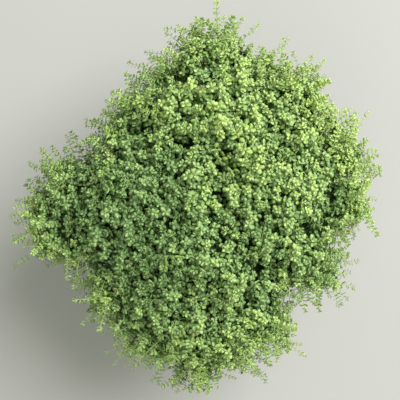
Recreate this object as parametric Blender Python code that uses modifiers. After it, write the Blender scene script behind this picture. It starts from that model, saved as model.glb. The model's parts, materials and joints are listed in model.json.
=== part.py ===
"""A potted sandwort: a cushion of leafy clumps on short stems, rooted in a round nursery pot.

Metres, +Z up. The origin is the centre of the pot's base, on the surface that it stands on.
"""

import math
import random

import bmesh
import bpy
from mathutils import Matrix, Vector, noise

# The pot: a thin tapered shell with a turned-down lip and a raised ring of drain holes.
POT_HEIGHT = 0.105
POT_TOP_RADIUS = 0.066
POT_BASE_RADIUS = 0.048
POT_WALL = 0.0014
LIP_WIDTH = 0.003
LIP_DROP = 0.0075
DRAIN_RING_RADIUS = 0.0328
DRAIN_RING_HALF_WIDTH = 0.0085
DRAIN_RING_RISE = 0.003
DRAIN_HOLE_RADIUS = 0.0045
DRAIN_HOLE_COUNT = 8
ROUND_STEPS = 40

# Pieces that rest on each other keep this much air between them.
GAP = 0.0004

# The root ball: potting mix and roots, filling the pot nearly to its lip.
SOIL_EDGE_DROP = 0.0045
SOIL_DOME = 0.002

# The root crown that every main stem springs from.
CROWN_RADIUS = 0.014
CROWN_HEIGHT = 0.010

# The mound that the foliage fills: its top, its widest level and the hem of its skirt.
MOUND_TOP = 0.166
MOUND_WAIST = 0.108
MOUND_HEM = 0.079
MOUND_ROUNDNESS = 2.1
# How far the foliage reaches from the axis, every 30 degrees round from +X.
MOUND_REACH = (0.120, 0.128, 0.126, 0.133, 0.113, 0.107, 0.134, 0.114, 0.125, 0.132, 0.120, 0.115)

# Clumps stand in rings: how many, how far out as a share of the reach, and the height of the middle.
CLUMP_RINGS = ((1, 0.0, 0.144), (6, 0.27, 0.142), (9, 0.53, 0.137), (12, 0.80, 0.111))
OUTER_RING = len(CLUMP_RINGS) - 1
CLUMP_GAP = 0.0006
CLUMP_UNDERSIDE = 0.1175
CLUMP_SEGMENTS = 15
CLUMP_BANDS = 10
LOBE_DEPTH = 0.14
LOBE_SIZE = 0.012

# Main stems, from the crown to the underside of each clump.
STEM_RADIUS = 0.0012
STEM_TIP_SHARE = 0.75
STEM_POINTS = 7
ARCH_OVER_LIP = 0.009
STEM_END_GAP = 0.0009


def clear_scene():
    for obj in list(bpy.data.objects):
        bpy.data.objects.remove(obj, do_unlink=True)


def new_collection(name):
    collection = bpy.data.collections.new(name)
    bpy.context.scene.collection.children.link(collection)
    return collection


def material(name, colour, roughness):
    made = bpy.data.materials.new(name)
    made.use_nodes = True
    shader = made.node_tree.nodes["Principled BSDF"]
    shader.inputs["Base Color"].default_value = (*colour, 1.0)
    shader.inputs["Roughness"].default_value = roughness
    shader.inputs["Metallic"].default_value = 0.0
    made.diffuse_color = (*colour, 1.0)
    return made


def object_from_bmesh(name, shape, collection, finish):
    mesh = bpy.data.meshes.new(name)
    shape.to_mesh(mesh)
    shape.free()
    mesh.shade_smooth()
    obj = bpy.data.objects.new(name, mesh)
    obj.data.materials.append(finish)
    collection.objects.link(obj)
    return obj


# ---------------------------------------------------------------- pot and root ball


def outer_radius(height):
    """The pot wall's outside radius at a height."""
    return POT_BASE_RADIUS + (POT_TOP_RADIUS - POT_BASE_RADIUS) * height / POT_HEIGHT


def turned(name, profile, collection, finish):
    """A solid of revolution from (radius, height) points that run down its outer side."""
    shape = bmesh.new()
    points = [shape.verts.new((radius, 0.0, height)) for radius, height in profile]
    for start, end in zip(points, points[1:]):
        shape.edges.new((start, end))
    obj = object_from_bmesh(name, shape, collection, finish)
    screw = obj.modifiers.new("turn", "SCREW")
    screw.axis = "Z"
    screw.steps = ROUND_STEPS
    screw.render_steps = ROUND_STEPS
    screw.use_merge_vertices = True
    screw.merge_threshold = 0.00001
    return obj


def pot_profile():
    """Inner floor, inner wall, lip, outer wall and underside, in that order."""
    ring_in = DRAIN_RING_RADIUS - DRAIN_RING_HALF_WIDTH
    ring_out = DRAIN_RING_RADIUS + DRAIN_RING_HALF_WIDTH
    slope = 0.002
    floor = POT_WALL
    raised = POT_WALL + DRAIN_RING_RISE
    lip_out = POT_TOP_RADIUS + LIP_WIDTH
    lip_foot = POT_HEIGHT - LIP_DROP
    lip_wall = 0.0012
    under_lip = POT_HEIGHT - 1.3 * POT_WALL
    inner_floor = [
        (0.0, floor),
        (ring_in - slope / 2, floor),
        (ring_in + slope / 2, raised),
        (ring_out - slope / 2, raised),
        (ring_out + slope / 2, floor),
        (outer_radius(floor) - POT_WALL, floor),
    ]
    inner_wall = [
        (outer_radius(POT_HEIGHT / 2) - POT_WALL, POT_HEIGHT / 2),
        (POT_TOP_RADIUS - POT_WALL, POT_HEIGHT - 0.0008),
        (POT_TOP_RADIUS - POT_WALL + 0.0008, POT_HEIGHT),
    ]
    lip = [
        (lip_out - 0.0008, POT_HEIGHT),
        (lip_out, POT_HEIGHT - 0.0008),
        (lip_out, lip_foot),
        (lip_out - lip_wall, lip_foot),
        (lip_out - lip_wall, under_lip),
        (outer_radius(under_lip), under_lip),
    ]
    outside = [
        (outer_radius(POT_HEIGHT / 2), POT_HEIGHT / 2),
        (outer_radius(0.0015), 0.0015),
        (POT_BASE_RADIUS - 0.001, 0.0),
    ]
    underside = [
        (ring_out + slope, 0.0),
        (ring_out, DRAIN_RING_RISE),
        (ring_in, DRAIN_RING_RISE),
        (ring_in - slope, 0.0),
        (0.0, 0.0),
    ]
    return inner_floor + inner_wall + lip + outside + underside


def drain_cutter(collection):
    """Upright cylinders, one for each drain hole, longer than the raised floor is thick."""
    shape = bmesh.new()
    for index in range(DRAIN_HOLE_COUNT):
        angle = 2 * math.pi * (index + 0.5) / DRAIN_HOLE_COUNT
        out = Matrix.Translation((DRAIN_RING_RADIUS, 0.0, DRAIN_RING_RISE + POT_WALL / 2))
        bmesh.ops.create_cone(
            shape,
            cap_ends=True,
            segments=16,
            radius1=DRAIN_HOLE_RADIUS,
            radius2=DRAIN_HOLE_RADIUS,
            depth=4 * POT_WALL,
            matrix=Matrix.Rotation(angle, 4, "Z") @ out,
        )
    mesh = bpy.data.meshes.new("drain_cutter")
    shape.to_mesh(mesh)
    shape.free()
    cutter = bpy.data.objects.new("drain_cutter", mesh)
    cutter.hide_render = True
    cutter.display_type = "WIRE"
    collection.objects.link(cutter)
    return cutter


def make_pot(parts, cutters):
    finish = material("charcoal_polypropylene", (0.035, 0.037, 0.038), 0.5)
    pot = turned("nursery_pot", pot_profile(), parts, finish)
    cut = pot.modifiers.new("drain_holes", "BOOLEAN")
    cut.operation = "DIFFERENCE"
    cut.object = drain_cutter(cutters)
    cut.solver = "EXACT"
    return pot


def soil_edge():
    return POT_HEIGHT - SOIL_EDGE_DROP


def soil_top():
    return soil_edge() + SOIL_DOME


def make_root_ball(parts):
    """Potting mix held together by roots. It stands on the raised drain ring."""
    finish = material("moist_peat_and_bark", (0.045, 0.028, 0.018), 0.95)
    foot = POT_WALL + DRAIN_RING_RISE + GAP
    inside = POT_WALL + GAP
    profile = [
        (0.0, soil_top()),
        (0.4 * POT_TOP_RADIUS, soil_top()),
        (0.75 * POT_TOP_RADIUS, soil_edge() + 0.3 * SOIL_DOME),
        (outer_radius(soil_edge()) - inside - 0.001, soil_edge()),
        (outer_radius(soil_edge()) - inside, soil_edge() - 0.001),
        (outer_radius(POT_HEIGHT / 2) - inside, POT_HEIGHT / 2),
        (outer_radius(foot) - inside, foot),
        (0.0, foot),
    ]
    return turned("root_ball", profile, parts, finish)


def make_crown(parts):
    """The knobbly woody crown: the upper half of a flattened ball, flat on the soil."""
    finish = material("woody_crown", (0.16, 0.10, 0.06), 0.9)
    shape = bmesh.new()
    bmesh.ops.create_uvsphere(shape, u_segments=16, v_segments=10, radius=CROWN_RADIUS)
    for vertex in shape.verts:
        knobs = noise.noise(vertex.co * 220.0)
        vertex.co *= 1.0 - 0.08 * abs(knobs)
        vertex.co.z *= CROWN_HEIGHT / CROWN_RADIUS
    everything = shape.verts[:] + shape.edges[:] + shape.faces[:]
    cut = bmesh.ops.bisect_plane(
        shape, geom=everything, plane_co=(0, 0, 0.0001), plane_no=(0, 0, 1), clear_inner=True
    )
    rim = [item for item in cut["geom_cut"] if isinstance(item, bmesh.types.BMEdge)]
    bmesh.ops.edgeloop_fill(shape, edges=rim)
    bmesh.ops.recalc_face_normals(shape, faces=shape.faces[:])
    bmesh.ops.translate(shape, verts=shape.verts[:], vec=(0, 0, soil_top() + GAP))
    return object_from_bmesh("root_crown", shape, parts, finish)


# ---------------------------------------------------------------- mound of clumps


def reach_at(azimuth):
    """The mound's reach towards an azimuth, smoothly between the listed directions."""
    count = len(MOUND_REACH)
    place = (azimuth / (2 * math.pi)) % 1.0 * count
    before = int(place) % count
    share = place - int(place)
    eased = 0.5 - 0.5 * math.cos(math.pi * share)
    return MOUND_REACH[before] * (1 - eased) + MOUND_REACH[(before + 1) % count] * eased


def mound_fullness(point):
    """Under 1 inside the mound, 1 on its surface."""
    out = math.hypot(point.x, point.y) / reach_at(math.atan2(point.y, point.x))
    half = MOUND_TOP - MOUND_WAIST if point.z > MOUND_WAIST else MOUND_WAIST - MOUND_HEM
    up = abs(point.z - MOUND_WAIST) / half
    return out**MOUND_ROUNDNESS + up**MOUND_ROUNDNESS


def distance_to_surface(start, direction):
    """How far the mound's surface is from a point inside it, by halving the interval."""
    near = 0.0
    far = 0.3
    for _ in range(30):
        middle = (near + far) / 2
        if mound_fullness(start + direction * middle) < 1.0:
            near = middle
        else:
            far = middle
    return near


def clump_places():
    """Each clump's ring, azimuth and middle, set a little unevenly as they grow."""
    dice = random.Random(7)
    places = []
    for ring, (count, share, height) in enumerate(CLUMP_RINGS):
        for index in range(count):
            uneven = dice.uniform(-0.12, 0.12) if 0 < ring < OUTER_RING else 0.0
            azimuth = 2 * math.pi * (index + uneven + 0.5 * (ring % 2 == 0)) / count
            out = share * reach_at(azimuth) * dice.uniform(0.97, 1.0)
            middle = Vector((out * math.cos(azimuth), out * math.sin(azimuth), height))
            places.append((ring, azimuth, middle))
    return places


def clump_walls(index, places):
    """Planes (point, outward normal) that a clump stays inside: one towards each neighbour, and its underside."""
    ring, azimuth, middle = places[index]
    walls = []
    for other, (_, _, other_middle) in enumerate(places):
        if other != index:
            towards = (other_middle - middle).normalized()
            half_way = (other_middle + middle) / 2 - towards * CLUMP_GAP / 2
            walls.append((half_way, towards))
    if ring == OUTER_RING:
        # A slant that passes just over the pot's lip, so that the skirt hangs clear of the wall.
        inward_down = Vector((-math.cos(azimuth), -math.sin(azimuth), -1.0)).normalized()
        over_lip = POT_TOP_RADIUS + LIP_WIDTH + 0.006
        corner = Vector((over_lip * math.cos(azimuth), over_lip * math.sin(azimuth), POT_HEIGHT))
        walls.append((corner, inward_down))
    else:
        walls.append((Vector((0, 0, CLUMP_UNDERSIDE)), Vector((0, 0, -1))))
    return walls


def rounded_least(distances, sharpness=9):
    """A minimum with rounded corners, never more than the least of the distances."""
    return sum(distance**-sharpness for distance in distances) ** (-1 / sharpness)


def clump_extent(index, places, direction):
    """How far a clump reaches from its middle in one direction."""
    middle = places[index][2]
    surface = distance_to_surface(middle, direction)
    hollow = 0.5 + 0.5 * noise.noise((middle + direction * surface) / LOBE_SIZE)
    distances = [surface * (1.0 - LOBE_DEPTH * hollow)]
    for point, normal in clump_walls(index, places):
        facing = direction.dot(normal)
        if facing > 0.001:
            distances.append((point - middle).dot(normal) / facing)
    return rounded_least(distances)


def foot_direction(ring, azimuth):
    """From a clump's middle towards the place where its stem comes in."""
    inward = Vector((-math.cos(azimuth), -math.sin(azimuth), 0))
    if ring == OUTER_RING:
        return (inward + Vector((0, 0, -0.1))).normalized()
    if ring == 0:
        return Vector((0, 0, -1))
    return (0.25 * inward + Vector((0, 0, -1))).normalized()


def make_clump(index, places, parts, finish):
    """A bundle of leafy shoots as one closed form, swelling until it meets its neighbours."""
    ring, azimuth, middle = places[index]
    shape = bmesh.new()
    bmesh.ops.create_uvsphere(shape, u_segments=CLUMP_SEGMENTS, v_segments=CLUMP_BANDS, radius=1.0)
    pole = foot_direction(ring, azimuth)
    turn = Vector((0, 0, -1)).rotation_difference(pole).to_matrix().to_4x4()
    bmesh.ops.transform(shape, matrix=turn, verts=shape.verts[:])
    for vertex in shape.verts:
        direction = vertex.co.normalized()
        vertex.co = direction * clump_extent(index, places, direction)
    bmesh.ops.transform(shape, matrix=Matrix.Translation(middle), verts=shape.verts[:])
    return object_from_bmesh(f"leafy_clump_{index + 1:02d}", shape, parts, finish)


# ---------------------------------------------------------------- stems


def stem_start(ring, azimuth):
    """Where a stem leaves the crown: the outer ring's stems lowest, the middle one on top."""
    climb = math.radians((90, 62, 34, 6)[ring])
    across = (CROWN_RADIUS + STEM_RADIUS) * math.cos(climb)
    height = soil_top() + GAP + STEM_RADIUS + (CROWN_HEIGHT + GAP) * math.sin(climb)
    return Vector((across * math.cos(azimuth), across * math.sin(azimuth), height))


def stem_points(index, places):
    """A quadratic curve from the crown to the clump's foot, arched for the outer ring."""
    ring, azimuth, middle = places[index]
    down = foot_direction(ring, azimuth)
    start = stem_start(ring, azimuth)
    end = middle + down * (clump_extent(index, places, down) + STEM_END_GAP)
    bend = start.lerp(end, 0.6)
    if ring == OUTER_RING:
        bend.z = end.z + ARCH_OVER_LIP
    elif ring:
        bend = end.lerp(start, 0.45)
        bend.z -= 0.001
    points = []
    for step in range(STEM_POINTS):
        t = step / (STEM_POINTS - 1)
        points.append((1 - t) ** 2 * start + 2 * t * (1 - t) * bend + t**2 * end)
    return points


def make_stem(index, places, parts, finish):
    name = f"main_stem_{index + 1:02d}"
    curve = bpy.data.curves.new(name, "CURVE")
    curve.dimensions = "3D"
    curve.bevel_depth = STEM_RADIUS
    curve.bevel_resolution = 2
    curve.use_fill_caps = True
    points = stem_points(index, places)
    spline = curve.splines.new("POLY")
    spline.points.add(len(points) - 1)
    for place, (target, point) in enumerate(zip(spline.points, points)):
        target.co = (*point, 1.0)
        target.radius = 1.0 - (1.0 - STEM_TIP_SHARE) * place / (len(points) - 1)
    curve.materials.append(finish)
    obj = bpy.data.objects.new(name, curve)
    parts.objects.link(obj)
    return obj


def main():
    clear_scene()
    parts = new_collection("potted_sandwort")
    cutters = new_collection("cutters")
    make_pot(parts, cutters)
    make_root_ball(parts)
    make_crown(parts)
    leaf = material("sandwort_leaf", (0.18, 0.27, 0.09), 0.55)
    bark = material("sandwort_stem", (0.28, 0.22, 0.09), 0.7)
    places = clump_places()
    for index in range(len(places)):
        make_stem(index, places, parts, bark)
        make_clump(index, places, parts, leaf)


main()
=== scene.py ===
# %% [markdown]
# # Potted sandwort
# A mossy sandwort is a cushion of thread-thin stems. Each stem carries pairs of tiny round leaves,
# every pair turned a quarter against the last, and ends in a small bright cross of new leaves.
# A few thousand such shoots stand side by side and spill over a plain nursery pot.
#
# The plan is to model a handful of shoots well, and to let Geometry Nodes set them out over a
# domed mound, clump by clump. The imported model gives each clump's place, so it is loaded first.

import json
import math
import random
from functools import partial

import bmesh
import bpy
import numpy as np
from mathutils import Matrix, Vector, noise

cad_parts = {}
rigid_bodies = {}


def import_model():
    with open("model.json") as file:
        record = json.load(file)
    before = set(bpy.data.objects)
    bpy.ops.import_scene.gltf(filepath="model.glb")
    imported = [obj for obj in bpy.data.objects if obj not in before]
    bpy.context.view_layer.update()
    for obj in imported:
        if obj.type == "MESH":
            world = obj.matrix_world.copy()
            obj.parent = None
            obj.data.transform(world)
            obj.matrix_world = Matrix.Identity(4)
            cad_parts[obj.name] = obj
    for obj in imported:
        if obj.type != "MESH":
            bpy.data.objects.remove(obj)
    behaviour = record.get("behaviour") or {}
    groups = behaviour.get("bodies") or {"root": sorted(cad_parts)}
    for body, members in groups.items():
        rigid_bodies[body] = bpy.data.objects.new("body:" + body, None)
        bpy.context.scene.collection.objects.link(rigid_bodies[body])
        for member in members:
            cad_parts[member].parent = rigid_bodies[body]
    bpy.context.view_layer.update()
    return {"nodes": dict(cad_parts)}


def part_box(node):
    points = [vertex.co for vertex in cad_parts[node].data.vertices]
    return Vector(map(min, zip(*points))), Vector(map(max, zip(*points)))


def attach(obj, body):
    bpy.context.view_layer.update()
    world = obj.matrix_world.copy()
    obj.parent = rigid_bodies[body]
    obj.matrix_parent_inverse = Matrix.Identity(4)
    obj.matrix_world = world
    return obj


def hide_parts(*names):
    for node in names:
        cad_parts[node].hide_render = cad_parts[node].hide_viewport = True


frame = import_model()
clump_names = sorted(name for name in frame["nodes"] if name.startswith("leafy_clump"))

# %% [markdown]
# ## Helpers
# Colours are written as the hex values that a paint program shows, and shaders want linear light,
# so one function turns the first into the second. A second function adds a node to any tree with
# its settings and its links, because a tree is far easier to read when each node is one line.
# Each new tree comes with that function already tied to it, under the name "add".

# %% Colour and node helpers
MM = 0.001


def linear(hex_colour):
    """An sRGB hex colour as linear RGBA."""
    channels = [int(hex_colour[start : start + 2], 16) / 255 for start in (1, 3, 5)]
    light = [c / 12.92 if c <= 0.04045 else ((c + 0.055) / 1.055) ** 2.4 for c in channels]
    return (*light, 1.0)


def live_output(node):
    """The first output that the node's settings leave switched on."""
    return next(output for output in node.outputs if output.enabled)


def add_node(tree, kind, inputs=None, stops=(), feeds=None, **settings):
    """Add a node with its settings and links, and the (position, hex) stops of its colour ramp.

    An input is a value, another node's output, or a node, whose first live output is linked.
    The new node's own first live output is linked to the input that it feeds, if one is given.
    """
    node = tree.nodes.new(kind)
    for name, value in settings.items():
        setattr(node, name, value)
    for place, (position, hex_colour) in enumerate(stops):
        ramp = node.color_ramp.elements
        element = ramp[place] if place < len(ramp) else ramp.new(position)
        element.position, element.color = position, linear(hex_colour)
    for name, value in (inputs or {}).items():
        if isinstance(value, bpy.types.Node):
            value = live_output(value)
        if isinstance(value, bpy.types.NodeSocket):
            tree.links.new(value, node.inputs[name])
        else:
            node.inputs[name].default_value = value
    if feeds:
        tree.links.new(live_output(node), feeds)
    return node


def new_material(name, finish):
    """A material with one Principled shader, what adds its nodes, and the shader's inputs."""
    made = bpy.data.materials.new(name)
    made.use_nodes = True
    tree = made.node_tree
    tree.nodes.clear()
    add = partial(add_node, tree)
    shader = add("ShaderNodeBsdfPrincipled", finish)
    add("ShaderNodeOutputMaterial", {"Surface": shader})
    return made, add, shader.inputs


# %% Object helpers
# Points closer than this count as one.
SAME_PLACE = 0.00001


def new_object(name, data):
    """An object in the scene. A bmesh is turned to a mesh for it and freed."""
    if isinstance(data, bmesh.types.BMesh):
        shape, data = data, bpy.data.meshes.new(name)
        shape.to_mesh(data)
        shape.free()
    made = bpy.data.objects.new(name, data)
    bpy.context.scene.collection.objects.link(made)
    return made


def discard(objects):
    """Delete objects that were only scaffolding."""
    for scaffold in list(objects):
        bpy.data.objects.remove(scaffold, do_unlink=True)


def box_middle(name):
    """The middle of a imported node's box."""
    low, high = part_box(name)
    return (Vector(low) + Vector(high)) / 2


# %% [markdown]
# ## Camera, light and floor
# The plant is looked at from straight above, the way one looks down at a pot on the ground. The
# camera is half a metre above the mound's widest level, and its angle takes in 280 mm there.
# Light comes from a wide soft panel, high and to the right, with a weak one opposite and a dim
# room. The leaves' faces are bright, the gaps between the shoots fall away to a deep green, and
# the far flank is darker.

# %% Camera
WAIST_HEIGHT = 0.108
CAMERA_DISTANCE = 0.5
VIEW_WIDTH = 0.280
camera_data = bpy.data.cameras.new("camera")
camera_data.sensor_fit = "HORIZONTAL"
camera_data.angle = 2 * math.atan(VIEW_WIDTH / 2 / CAMERA_DISTANCE)
camera = new_object("camera", camera_data)
camera.location = (-0.003, 0.0033, WAIST_HEIGHT + CAMERA_DISTANCE)
bpy.context.scene.camera = camera

# %% Floor
floor_shape = bmesh.new()
bmesh.ops.create_grid(floor_shape, x_segments=1, y_segments=1, size=20.0)
floor = new_object("floor", floor_shape)
# A hair below the pot's foot, so that the two faces never lie in one plane.
floor.location.z = -0.0005
floor_finish = {"Base Color": linear("#b9b9b6"), "Roughness": 0.9}
floor.data.materials.append(new_material("pale_matte_floor", floor_finish)[0])

# %% Lights
# Each row: name, place, size in metres, watts and colour. Both look at the mound's middle.
PANELS = (
    ("high_panel", (1.00, 0.75, 1.40), 1.3, 48.0, "#fffefc"),
    ("fill_panel", (-0.7, -1.3, 1.0), 1.2, 7.0, "#f7f6f0"),
)
LOOK_AT = Vector((0.0, 0.0, 0.1))
for name, place, size, watts, colour in PANELS:
    panel = bpy.data.lights.new(name, "AREA")
    panel.shape = "SQUARE"
    panel.size = size
    panel.energy = watts
    panel.color = linear(colour)[:3]
    lamp = new_object(name, panel)
    lamp.location = place
    lamp.rotation_euler = (LOOK_AT - Vector(place)).to_track_quat("-Z", "Y").to_euler()
world = bpy.data.worlds.new("room")
world.use_nodes = True
room = world.node_tree.nodes["Background"].inputs
room["Color"].default_value = linear("#e6ebdc")
room["Strength"].default_value = 0.54
bpy.context.scene.world = world
bpy.context.scene.view_settings.view_transform = "Standard"

# %% [markdown]
# ## One leaf
# A sandwort leaf is about 3.5 mm long and nearly as round as it is long, fleshy, a little cupped,
# with a groove where the midrib runs. The whole plant has tens of thousands of them, so one leaf
# has only 24 triangles: a top and an underside that share their edge, which closes the mesh.
# An attribute called "lamina" goes with it. It says how far across and along the leaf a point
# lies, and which face it is on, for the midrib and for the paler underside.

# %% The leaf's shape
LEAF_STATIONS = (0.22, 0.52, 0.82)
LEAF_HALF_WIDTHS = (0.27, 0.385, 0.29)
LEAF_THICKNESS = 0.05
LEAF_CUP = 0.09
LEAF_DROOP = 0.16
TIP_LIFT = 0.03


def make_leaf():
    """Corners, faces and lamina coordinates for a leaf of length 1 that points along +Y."""
    corners, lamina = [(0.0, 0.0, 0.0)], [(0.0, 0.0, 0.0)]
    for along, half in zip(LEAF_STATIONS, LEAF_HALF_WIDTHS):
        sag = -LEAF_DROOP * along**2
        for across in (-half, half):
            corners.append((across, along, sag + LEAF_CUP * half / max(LEAF_HALF_WIDTHS)))
            lamina.append((across, along, 0.0))
        for side in (1, -1):
            corners.append((0.0, along, sag + side * LEAF_THICKNESS / 2))
            lamina.append((0.0, along, side))
    tip = len(corners)
    corners.append((0.0, 1.0, -LEAF_DROOP + TIP_LIFT))
    lamina.append((0.0, 1.0, 0.0))
    # Each station has four corners: left, right, the midrib's top and its underside.
    faces = []
    for middle in (2, 3):
        rows = [(row, row + middle, row + 1) for row in (1, 5, 9)]
        strip = [(0, rows[0][1], rows[0][0]), (0, rows[0][2], rows[0][1])]
        for low, high in zip(rows, rows[1:]):
            strip.append((low[0], low[1], high[1], high[0]))
            strip.append((low[1], low[2], high[2], high[1]))
        strip.append((rows[2][0], rows[2][1], tip))
        strip.append((rows[2][1], rows[2][2], tip))
        faces += strip if middle == 2 else [tuple(reversed(face)) for face in strip]
    return np.array(corners), faces, np.array(lamina)


leaf_corners, leaf_faces, leaf_lamina = make_leaf()
LEAF_FACE_COUNT = len(leaf_faces)
print("one leaf:", len(leaf_corners), "corners,", LEAF_FACE_COUNT, "faces")

# %% [markdown]
# ## Shoots
# A shoot is a thin stem with its leaves in pairs. Towards the tip the pairs are smaller, closer
# together and more upright, which is what makes each tip look like a little cross. A dozen
# different shoots are enough: turned and scaled at random, no one sees them repeat. A second set
# of short ones fills the gaps lower down, and a third of longer, barer ones stands for the sprays
# that trail from the rim of the cushion.
# Leaves and stems are kept in separate meshes because they have different finishes.

# %% Pairs along a shoot
# Each row: distance below the tip in mm, leaf length in mm, angle from the stem in degrees.
CUSHION_PAIRS = (
    (0.0, 2.6, 38),
    (0.6, 3.6, 57),
    (2.1, 4.3, 70),
    (4.5, 4.6, 79),
    (7.6, 4.5, 86),
    (11.2, 4.0, 92),
)
LOW_PAIRS = (
    (0.0, 3.8, 64),
    (1.8, 4.5, 79),
    (5.0, 4.4, 90),
)
SPRAY_PAIRS = (
    (0.0, 1.8, 26),
    (0.7, 2.4, 44),
    (2.2, 2.9, 58),
    (4.4, 3.1, 66),
    (7.2, 3.1, 72),
    (10.4, 3.0, 76),
    (14.0, 2.9, 80),
    (18.2, 2.7, 84),
)
CUSHION_LENGTH = 16.0
LOW_LENGTH = 12.0
SPRAY_LENGTH = 36.0
# How far leaves stray from their place round the stem, and roll about their own length.
STRAY = 18
SPRAY_STRAY = 50
ROLL = 22
FACE_UP = 34


def bent_path(length, bow, sag, dice):
    """A function from distance along the stem (mm) to its point, starting up +Z."""
    side = dice.uniform(0, 2 * math.pi)
    lean = (bow * math.cos(side), bow * math.sin(side))

    def point(distance):
        share = distance / length
        ease = share * share
        return Vector((lean[0] * ease, lean[1] * ease - sag * math.sin(math.pi * share), distance))

    return point


def shoot_meshes(name, pairs, length, bow, sag, dice, stem_radius):
    """The leaves and the stem of one shoot, as two meshes in metres with its foot at the origin.

    A trailing shoot, the kind that sags, twists its leaves so that they turn their faces up.
    """
    path = bent_path(length, bow, sag, dice)
    corners, faces, lamina, ages, tones = [], [], [], [], []
    turn = dice.uniform(0, 360)
    most = SPRAY_STRAY if sag else STRAY
    for order, (below, leaf_length, angle) in enumerate(pairs):
        at = length - below - (0.0 if order else 0.3)
        place = path(at)
        heading = (path(at + 0.5) - path(at - 0.5)).normalized()
        frame_turn = Vector((0, 0, 1)).rotation_difference(heading).to_matrix().to_4x4()
        for half in (0, 180):
            face_up = (FACE_UP if half else -FACE_UP) if sag else 0
            stray = dice.uniform(-most, most)
            spin = (90 if sag else turn + 90 * order) + half + stray
            tilt = angle + dice.uniform(-16, 14)
            size = leaf_length * dice.uniform(0.80, 1.12)
            around = Matrix.Rotation(math.radians(spin), 4, "Z")
            lift = Matrix.Rotation(math.radians(90 - tilt), 4, "X")
            roll = Matrix.Rotation(math.radians(dice.uniform(-ROLL, ROLL) - face_up), 4, "Y")
            whole = Matrix.Translation(place) @ frame_turn @ around @ lift @ roll
            put = np.array(whole @ Matrix.Diagonal((size, size, size, 1.0)))
            start = sum(len(block) for block in corners)
            corners.append((leaf_corners @ put[:3, :3].T + put[:3, 3]) * MM)
            faces += [tuple(start + corner for corner in face) for face in leaf_faces]
            lamina.append(leaf_lamina)
            ages.append(np.full(len(leaf_corners), order / (len(pairs) - 1)))
            tones.append(np.full(len(leaf_corners), dice.random()))
    leaves = bpy.data.meshes.new(name + "_leaves")
    leaves.from_pydata(np.vstack(corners).tolist(), [], faces)
    write_attribute(leaves, "age", "FLOAT", np.concatenate(ages))
    write_attribute(leaves, "leaf_tone", "FLOAT", np.concatenate(tones))
    write_attribute(leaves, "lamina", "FLOAT_VECTOR", np.vstack(lamina))
    stem = bpy.data.meshes.new(name + "_stem")
    rows = [path(share * length) for share in np.linspace(0, 0.985, 6)]
    points, walls = tube(rows, stem_radius, 4)
    stem.from_pydata((np.array(points) * MM).tolist(), [], walls)
    stem_age = [1 - point[2] / length for point in points]
    write_attribute(stem, "age", "FLOAT", np.clip(stem_age, 0, 1))
    return leaves, stem


def tube(rows, radius, sides):
    """A closed tube of flat-sided rings through the rows of points, narrower at its end."""
    points, walls = [], []
    for index, row in enumerate(rows):
        ahead = rows[min(index + 1, len(rows) - 1)] - rows[max(index - 1, 0)]
        turn = ahead.normalized().to_track_quat("Z", "Y").to_matrix()
        narrow = radius * (1 - 0.4 * index / (len(rows) - 1))
        for side in range(sides):
            angle = 2 * math.pi * side / sides
            edge = turn @ Vector((narrow * math.cos(angle), narrow * math.sin(angle), 0))
            points.append(tuple(row + edge))
    for index in range(len(rows) - 1):
        for side in range(sides):
            after = (side + 1) % sides
            low = index * sides
            walls.append((low + side, low + after, low + sides + after, low + sides + side))
    walls.append(tuple(reversed(range(sides))))
    walls.append(tuple(range((len(rows) - 1) * sides, len(rows) * sides)))
    return points, walls


def write_attribute(mesh, name, kind, values):
    """Store one value for each corner of the mesh."""
    layer = mesh.attributes.new(name, kind, "POINT")
    key = "vector" if kind == "FLOAT_VECTOR" else "value"
    layer.data.foreach_set(key, np.asarray(values, dtype=np.float32).ravel())


# %% The three sets of shoots
# Each row: how many shapes, pairs, length, bow, sag, stem radius (all in mm) and seed.
SHOOT_KINDS = {
    "cushion": (12, CUSHION_PAIRS, CUSHION_LENGTH, 4.0, 0.0, 0.34, 3),
    "low": (8, LOW_PAIRS, LOW_LENGTH, 3.0, 0.0, 0.36, 11),
    "spray": (10, SPRAY_PAIRS, SPRAY_LENGTH, 9.0, -3.0, 0.36, 5),
}
# For each part of the plant, the collection that Geometry Nodes pick from for each kind of shoot.
shoot_sets = {"leaves": {}, "stems": {}}
for kind, (count, pairs, length, bow, sag, stem_radius, seed) in SHOOT_KINDS.items():
    dice = random.Random(seed)
    for part in shoot_sets:
        shoot_sets[part][kind] = bpy.data.collections.new(f"{kind}_{part}")
    for index in range(count):
        bend = bow * dice.uniform(0.3, 1.0)
        name = f"{kind}_{index:02d}"
        meshes = shoot_meshes(name, pairs, length, bend, sag, dice, stem_radius)
        for mesh, sets in zip(meshes, shoot_sets.values()):
            mesh.shade_smooth()
            sets[kind].objects.link(bpy.data.objects.new(mesh.name, mesh))

# %% [markdown]
# ## The mound
# The shoots end on one continuous surface: a dome on top that rounds over at the widest level and
# tucks in under a hanging hem. It is built as a guide mesh from a rule for its reach in each
# direction, with slow noise for the tufts that grow taller than their neighbours. It is then cut
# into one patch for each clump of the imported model, so that every clump gets its own share of
# shoots. The guide is only scaffolding and is thrown away at the end.

# %% The mound's surface
MOUND_TOP = 0.163
MOUND_HEM = 0.082
MOUND_CORE = Vector((0.0, 0.0, 0.06))
ROUNDNESS = 2.15
# How far the dense cushion reaches from the pot's axis in mm, every 15 degrees round from +X.
REACH_MM = (114, 114, 113, 115, 115, 116, 124, 106, 95, 90, 85, 108)
REACH_MM += (124, 119, 93, 105, 112, 119, 127, 113, 110, 85, 107, 95)
TUFT_WIDTH = 0.024
TUFT_HEIGHT = 0.007
# Tufts are this share taller on top than at the rim.
TUFT_GAIN = 0.7


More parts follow.
